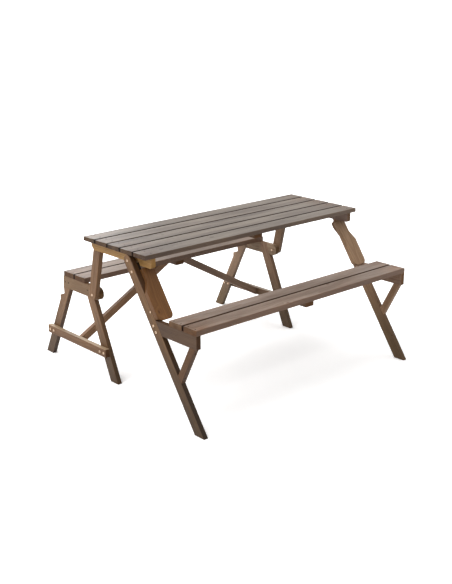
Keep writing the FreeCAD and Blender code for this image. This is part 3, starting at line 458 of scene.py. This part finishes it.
def corners(points):
    """The lowest and highest corner of the box around points."""
    low = Vector([min(point[axis] for point in points) for axis in range(3)])
    high = Vector([max(point[axis] for point in points) for axis in range(3)])
    return low, high


def finish_mesh(form, name, material):
    """Turn a form into a smooth-shaded object."""
    mesh = bpy.data.meshes.new(name)
    form.to_mesh(mesh)
    form.free()
    mesh.materials.append(material)
    piece = bpy.data.objects.new(name, mesh)
    bpy.context.scene.collection.objects.link(piece)
    mesh.shade_smooth()
    mesh.set_sharp_from_angle(angle=SMOOTH_LIMIT)
    weighted = piece.modifiers.new("weighted", "WEIGHTED_NORMAL")
    weighted.keep_sharp = True
    return piece


# Boards

def forward(direction):
    """The direction or its opposite, whichever has its largest part above zero."""
    return direction if max(direction, key=abs) > 0 else -direction


def grain_frame(form):
    """Axes along, across and out of the board's widest face, with its middle and half sizes along them."""
    longest = max(form.edges, key=lambda edge: edge.calc_length())
    along = forward((longest.verts[1].co - longest.verts[0].co).normalized())
    sides = [face for face in form.faces if abs(face.normal.dot(along)) < 0.05]
    widest = max(sides, key=lambda face: face.calc_area())
    out = forward((widest.normal - along * widest.normal.dot(along)).normalized())
    axes = [along, out.cross(along), out]
    reaches = [[vertex.co.dot(axis) for vertex in form.verts] for axis in axes]
    middle = sum((axis * (min(reach) + max(reach)) / 2 for axis, reach in zip(axes, reaches)), Vector())
    return axes, middle, [(max(reach) - min(reach)) / 2 for reach in reaches]


def touching_edges(edge):
    """The edge and all that share a corner with it."""
    return {other for vertex in edge.verts for other in vertex.link_edges}


def outline_edges(form):
    """Sharp edges of the board, without the rims of its holes."""
    edges = [edge for edge in form.edges if len(edge.link_faces) == 2]
    sharp = [edge for edge in edges if edge.calc_face_angle() > SHARP_LIMIT]
    kept = []
    for group in groups(sharp, touching_edges):
        low, high = corners([vertex.co for edge in group for vertex in edge.verts])
        if max(high - low) > WIDEST_HOLE:
            kept += group
    return kept


# How golden, how pale and of which tint single boards are, beside what their material gives. The paleness and
# tint are painted light and shade, paler on lit boards and darker on shaded ones, together with the boards'
# own tone.
WARMTH = {"end_batten_left": 0.9}
TONE_AND_LIGHT_DEPTH = {
    "end_batten_left": 1.20, "link_left": 1.24, "brace_left": 1.90, "rung_left": 0.92,
    "front_leg_left": 0.64, "front_support_left": 0.44, "prop_left": 0.62,
    "inner_leg_left": 0.78, "rear_leg_left": 0.79,
    "armrest_left": 0.84, "armrest_bracket_left": 0.16,
    "end_batten_right": 1.18, "link_right": 0.81, "brace_right": 1.42, "rung_right": 0.85,
    "front_leg_right": 1.12, "front_support_right": 1.20, "prop_right": 1.65,
    "inner_leg_right": 0.82, "rear_leg_right": 1.23, "rear_support_right": 1.24,
    "armrest_right": 1.88, "armrest_bracket_right": 2.30,
    "front_seat_slat_1": 1.28, "front_seat_slat_2": 1.34, "rear_seat_slat_2": 1.06,
    "table_slat_1": 0.90, "table_slat_3": 0.94, "table_slat_4": 1.04, "table_slat_5": 0.86,
}
TONE_AND_LIGHT_TINT = {
    "front_support_left": (0.98, 0.94, 0.97), "rear_support_left": (0.94, 1.02, 1.08),
    "front_leg_left": (0.97, 0.93, 0.77), "prop_left": (1.00, 0.83, 0.56), "rung_left": (1.00, 0.96, 0.92),
    "armrest_left": (1.10, 0.99, 0.76), "brace_left": (1.00, 1.06, 1.26),
    "end_batten_right": (1.00, 1.18, 1.70), "armrest_right": (1.00, 1.18, 1.56),
    "brace_right": (1.00, 1.10, 1.36), "rear_support_right": (1.00, 1.15, 1.26),
    "rear_leg_right": (1.00, 1.09, 1.20), "front_support_right": (1.00, 1.05, 1.24),
    "front_seat_slat_1": (1.00, 1.03, 1.08), "front_seat_slat_2": (1.00, 1.07, 1.18),
}
# The end that the photograph shows in front is yellower, and the other end greyer.
# These end tints are painted light and shade: the far end paler and greyer, the near end yellower.
END_LIGHT_TINT = {"left": (1.00, 0.98, 0.90), "right": (1.05, 1.14, 1.27)}
PLAIN = (1.0, 1.0, 1.0)
USUAL_DEPTHS = (0.94, 1.06)

# Where a log's pith may lie beside the board's middle, sideways and above or below it.
PITH_SIDEWAYS = (-0.06, 0.06)
PITH_ABOVE = (0.03, 0.11)

# How much painted shade darkens the narrow sides of boards.
LEG_SIDE_SHADE = 0.6
OTHER_SIDE_SHADE = 0.3
SIDE_SHADE = {
    "front_leg_left": 0.80, "front_leg_right": 0.0, "prop_left": 0.2, "prop_right": 0.0, "armrest_right": 0.0,
    "inner_leg_left": 0.20, "inner_leg_right": 0.0, "rear_leg_right": 0.0, "front_support_left": 0.0,
    "front_support_right": 0.0, "link_left": 0.0, "link_right": 0.0, "brace_left": 0.4, "brace_right": 0.0,
    "front_seat_slat_1": 0.25,
}


def side_shade_strength(node):
    """How much painted shade darkens the front and rear narrow sides, as shade falls in the slats' gaps, and
    how much browner both are.
    """
    if "_slat_" not in node:
        usual = LEG_SIDE_SHADE if "leg" in node or "prop" in node else OTHER_SIDE_SHADE
        return [SIDE_SHADE.get(node, usual), SIDE_SHADE.get(node, usual), 0.0]
    row, number = node.rsplit("_", 1)
    front = f"{row}_{int(number) - 1}" in slot_of_node
    rear = f"{row}_{int(number) + 1}" in slot_of_node
    return [SIDE_SHADE.get(node, float(front)), float(rear), 1.0]


def foot_share(node, along, half_length):
    """What turns a place along a leg into 1 at its foot and -1 at its top, or into 0 for other boards."""
    if "leg" not in node:
        return 0.0
    return (1.0 if along.z < 0 else -1.0) / half_length


def keep_values(piece, node, axes, middle, half):
    """Keep on a board what the nodes of its wood read."""
    for name, vector in zip(("along", "across", "out", "middle"), axes + [middle]):
        piece[name] = list(vector)
    chance = random.Random(node)
    piece["seed"] = chance.random()
    pith_sideways = chance.uniform(*PITH_SIDEWAYS)
    pith_above = chance.choice([-1, 1]) * chance.uniform(*PITH_ABOVE)
    piece["pith"] = [0.0, pith_sideways, pith_above]
    # The depth and tint carry painted light and shade besides the board's own tone.
    depth = TONE_AND_LIGHT_DEPTH.get(node, 1.0) * chance.uniform(*USUAL_DEPTHS)
    end_light_tint = END_LIGHT_TINT.get(node.rsplit("_", 1)[-1], PLAIN)
    piece["half"] = half
    piece["warmth"] = WARMTH.get(node, 0.0)
    piece["tint"] = [depth * own * shared for own, shared in zip(TONE_AND_LIGHT_TINT.get(node, PLAIN), end_light_tint)]
    piece["sides"] = side_shade_strength(node)
    # Rungs get a painted sheen on their tops.
    piece["tread"] = float("rung" in node)
    piece["foot"] = foot_share(node, axes[0], half[0])


def dress_board(node, rounding):
    """A board with softened edges, in place of its node."""
    slot = slot_of_node[node]
    form = welded_copy(node)
    bmesh.ops.dissolve_limit(form, angle_limit=FLAT_LIMIT, verts=form.verts, edges=form.edges,
                             use_dissolve_boundaries=False)
    axes, middle, half = grain_frame(form)
    if rounding:
        bmesh.ops.bevel(form, geom=outline_edges(form), offset=rounding, segments=2, profile=0.6,
                        affect="EDGES", clamp_overlap=True)
    piece = finish_mesh(form, f"{node}_board", materials[slot])
    keep_values(piece, node, axes, middle, half)
    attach(piece, body_of_node[node])
    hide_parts(node)


def dress_boards():
    """Every wooden piece of the table, benches and armrests."""
    for node, slot in slot_of_node.items():
        if slot.endswith("_wood"):
            filleted = "_slat_" in node or node in ("armrest_left", "armrest_right")
            dress_board(node, 0.0 if filleted else EDGE_ROUNDING)


# Bolts and screws

RING_POINTS = 24
BOLT_SIZE = 0.006
BOLT_HEAD_SIZE = 0.012
BOLT_HEAD_THICK = 0.004
NUT_FLATS = 0.010
NUT_THICK = 0.005
SCREW_SIZE = 0.004
SCREW_HEAD_SIZE = 0.008
SCREW_HEAD_THICK = 0.002
KEEP_THEIR_SHAPE = ("table_pivot_washers", "seat_pivot_spacers", "prop_screws")


def linked_vertices(vertex):
    """The vertices at the other ends of a vertex's edges."""
    return {edge.other_vert(vertex) for edge in vertex.link_edges}


def islands(node):
    """The separate forms of a node, each as its lowest and highest corner."""
    form = welded_copy(node)
    found = []
    for group in groups(form.verts, linked_vertices):
        found.append(corners([vertex.co for vertex in group]))
    form.free()
    return sorted(found, key=lambda box: tuple(round(value, 5) for value in box[0]))


def round_ring(size):
    """Radii around a round of this diameter."""
    return [size / 2] * RING_POINTS


def hex_ring(flats):
    """Radii around a hexagon of this size over its flats."""
    turns = [math.radians(step * 360 / RING_POINTS % 60 - 30) for step in range(RING_POINTS)]
    return [flats / 2 / math.cos(turn) for turn in turns]


def cross_ring(length, width):
    """Radii around a cross of this length and arm width."""
    turns = [math.radians(abs((step * 360 / RING_POINTS + 45) % 90 - 45)) for step in range(RING_POINTS)]
    return [min(length / 2 / math.cos(turn), width / 2 / max(math.sin(turn), 1e-6)) for turn in turns]


def skin_rings(form, base, axis, rings):
    """A closed skin over rings, each a depth along the axis and its radii."""
    turn = axis.to_track_quat("Z", "Y")
    loops = []
    for depth, radii in rings:
        loop = []
        for step, radius in enumerate(radii):
            angle = 2 * math.pi * step / RING_POINTS
            point = Vector((radius * math.cos(angle), radius * math.sin(angle), depth))
            loop.append(form.verts.new(base + turn @ point))
        loops.append(loop)
    for upper, lower in zip(loops, loops[1:]):
        for step in range(RING_POINTS):
            after = (step + 1) % RING_POINTS
            form.faces.new((upper[step], upper[after], lower[after], lower[step]))
    form.faces.new(loops[0])
    form.faces.new(loops[-1])


def bolt_rings(length, with_nut):
    """Button head with a hexagon socket, a shank and, on most bolts, a nut."""
    rings = [
        (0.55 * BOLT_HEAD_THICK, hex_ring(0.36 * BOLT_HEAD_SIZE)),
        (0.0, hex_ring(0.40 * BOLT_HEAD_SIZE)),
        (0.0, round_ring(0.56 * BOLT_HEAD_SIZE)),
        (0.12 * BOLT_HEAD_THICK, round_ring(0.76 * BOLT_HEAD_SIZE)),
        (0.38 * BOLT_HEAD_THICK, round_ring(0.92 * BOLT_HEAD_SIZE)),
        (0.75 * BOLT_HEAD_THICK, round_ring(BOLT_HEAD_SIZE)),
        (BOLT_HEAD_THICK, round_ring(BOLT_HEAD_SIZE)),
        (BOLT_HEAD_THICK, round_ring(BOLT_SIZE)),
    ]
    if not with_nut:
        return rings + [(length, round_ring(BOLT_SIZE))]
    return rings + [
        (length - NUT_THICK, round_ring(BOLT_SIZE)),
        (length - NUT_THICK, hex_ring(NUT_FLATS)),
        (length - 0.12 * NUT_THICK, hex_ring(NUT_FLATS)),
        (length, round_ring(0.88 * NUT_FLATS)),
        (length, round_ring(1.1 * BOLT_SIZE)),
        (length - 0.2 * NUT_THICK, round_ring(BOLT_SIZE)),
        (length - 0.1 * NUT_THICK, round_ring(0.84 * BOLT_SIZE)),
    ]


def screw_rings(length, countersunk):
    """Head with a cross recess on a shank with a point."""
    rings = [
        (0.8 * SCREW_HEAD_THICK, cross_ring(0.24 * SCREW_HEAD_SIZE, 0.10 * SCREW_HEAD_SIZE)),
        (0.1 * SCREW_HEAD_THICK, cross_ring(0.60 * SCREW_HEAD_SIZE, 0.18 * SCREW_HEAD_SIZE)),
        (0.0, round_ring(0.80 * SCREW_HEAD_SIZE)),
        (0.2 * SCREW_HEAD_THICK, round_ring(SCREW_HEAD_SIZE)),
    ]
    if not countersunk:
        rings.append((SCREW_HEAD_THICK, round_ring(SCREW_HEAD_SIZE)))
    return rings + [
        (SCREW_HEAD_THICK, round_ring(SCREW_SIZE)),
        (length - SCREW_SIZE, round_ring(SCREW_SIZE)),
        (length, round_ring(0.2 * SCREW_SIZE)),
    ]


def lie(node, low, high):
    """Where a fastener's head is, which way its shank points and how long it is."""
    spans = high - low
    along = max(range(3), key=lambda axis: spans[axis])
    base = (low + high) / 2
    head_high = base.x > 0 if along == 0 else "batten_screws" not in node
    base[along] = (high if head_high else low)[along]
    axis = Vector((0, 0, 0))
    axis[along] = -1 if head_high else 1
    return base, axis, spans[along]


def dress_fasteners(node):
    """Bolts or screws with their drive recesses and nuts, in place of the node's plain ones."""
    # The photograph shows these two screws as bright as the bolts.
    slot = "bright_bolts" if node == "front_leg_screws" else slot_of_node[node]
    form = bmesh.new()
    for low, high in islands(node):
        base, axis, length = lie(node, low, high)
        if "bolt" in node:
            rings = bolt_rings(length, "armrest" not in node)
        else:
            rings = screw_rings(length, axis.x == 0)
        skin_rings(form, base, axis, rings)
    bmesh.ops.recalc_face_normals(form, faces=form.faces)
    piece = finish_mesh(form, f"{node}_detailed", materials[slot])
    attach(piece, body_of_node[node])
    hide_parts(node)


def dress_metal():
    """Fasteners in detail, and a finish for the rings and tilted screws that keep their shape."""
    for node, slot in slot_of_node.items():
        if slot.endswith("_wood"):
            continue
        if node in KEEP_THEIR_SHAPE:
            thing = frame["nodes"][node]
            thing.data.materials.clear()
            thing.data.materials.append(materials[slot])
        else:
            dress_fasteners(node)


# Surroundings

FLOOR_RADIUS = 120.0
FLOOR_SIDES = 64
FLOOR_DROP = 0.0004
FLOOR_TONE = (0.32, 0.31, 0.30, 1.0)
FLOOR_TONE_SEEN = (1.45, 1.45, 1.45, 1.0)
WHITE = (1.0, 1.0, 1.0, 1.0)
SKY_BRIGHT_TOWARDS = (-0.45, 0.30, 0.84)
SKY_DIM = 0.16
SKY_BRIGHT = 0.95
LAMP_STRENGTH = 1.0
LAMP_SPREAD = math.radians(40)
LAMP_PLACE = Vector((0.0, 0.0, 3.0))
LAMP_TOWARDS = Vector((0.7, -0.15, -1.0))
PANEL_PLACE = Vector((0.1, 3.6, 2.0))
PANEL_TOWARDS = Vector((-0.08, -1.0, -0.38))
PANEL_WIDTH = 3.6
PANEL_HEIGHT = 2.2
PANEL_WATTS = 80.0
LENS = 60.80
SENSOR_HEIGHT = 36.0
CAMERA_PLACE = (-3.120, -3.494, 1.846)
CAMERA_DOWN = 0.310
CAMERA_TURN = -0.737


def floor():
    """A plain pale floor that keeps the object's shadow."""
    mesh = bpy.data.meshes.new("floor")
    form = bmesh.new()
    bmesh.ops.create_circle(form, cap_ends=True, radius=FLOOR_RADIUS, segments=FLOOR_SIDES)
    form.to_mesh(mesh)
    form.free()
    thing = bpy.data.objects.new("floor", mesh)
    thing.location.z = -FLOOR_DROP
    bpy.context.scene.collection.objects.link(thing)
    material = bpy.data.materials.new("pale_floor")
    tree = Tree(material)
    shade = tree.mix(seen_directly(tree), FLOOR_TONE, FLOOR_TONE_SEEN)
    shader = tree.add("ShaderNodeBsdfDiffuse", Color=shade)
    tree.add("ShaderNodeOutputMaterial", Surface=shader.outputs[0])
    mesh.materials.append(material)


def seen_directly(tree):
    """One for what the camera, a reflection or a glass sees."""
    path = tree.add("ShaderNodeLightPath")
    either = tree.math("MAXIMUM", path.outputs["Is Camera Ray"], path.outputs["Is Glossy Ray"])
    return tree.math("MAXIMUM", either, path.outputs["Is Transmission Ray"])


def surround():
    """A world that lights most from above and the rear left, and is plain white where it is seen."""
    world = bpy.data.worlds.new("studio")
    bpy.context.scene.world = world
    tree = Tree(world)
    direction = tree.add("ShaderNodeTexCoord").outputs["Generated"]
    towards = tree.vector("MULTIPLY", direction, SKY_BRIGHT_TOWARDS)
    height = tree.math("ADD", tree.part(towards, "X"), tree.part(towards, "Y"))
    height = tree.math("ADD", height, tree.part(towards, "Z"))
    glow = tree.ramp(height, -0.6, 0.95, SKY_DIM, SKY_BRIGHT)
    soft = tree.add("ShaderNodeBackground", Color=WHITE, Strength=glow)
    white = tree.add("ShaderNodeBackground", Color=WHITE, Strength=1.0)
    blend = tree.nodes.new("ShaderNodeMixShader")
    tree.put(blend.inputs[0], seen_directly(tree))
    tree.put(blend.inputs[1], soft.outputs[0])
    tree.put(blend.inputs[2], white.outputs[0])
    tree.add("ShaderNodeOutputWorld", Surface=blend.outputs[0])


def lamps():
    """A soft lamp from above and a broad panel behind."""
    sun = bpy.data.lights.new("soft_lamp", "SUN")
    sun.energy = LAMP_STRENGTH
    sun.angle = LAMP_SPREAD
    place_light("soft_lamp", sun, LAMP_PLACE, LAMP_TOWARDS)

    panel = bpy.data.lights.new("panel", "AREA")
    panel.shape = "RECTANGLE"
    panel.size = PANEL_WIDTH
    panel.size_y = PANEL_HEIGHT
    panel.energy = PANEL_WATTS
    place_light("panel", panel, PANEL_PLACE, PANEL_TOWARDS)


def place_light(name, lamp, place, towards):
    """A light at a place, shining in a direction and itself unseen."""
    thing = bpy.data.objects.new(name, lamp)
    thing.location = place
    thing.rotation_euler = towards.to_track_quat("-Z", "Y").to_euler()
    thing.visible_camera = False
    bpy.context.scene.collection.objects.link(thing)


def camera():
    """The photograph's viewpoint."""
    lens = bpy.data.cameras.new("camera")
    lens.sensor_fit = "VERTICAL"
    lens.sensor_height = SENSOR_HEIGHT
    lens.lens = LENS
    thing = bpy.data.objects.new("camera", lens)
    thing.location = CAMERA_PLACE
    thing.rotation_euler = (math.pi / 2 - CAMERA_DOWN, 0.0, CAMERA_TURN)
    bpy.context.scene.collection.objects.link(thing)
    bpy.context.scene.camera = thing


# The scene

bpy.context.scene.view_settings.view_transform = "Standard"
dress_boards()
dress_metal()
floor()
surround()
lamps()
camera()
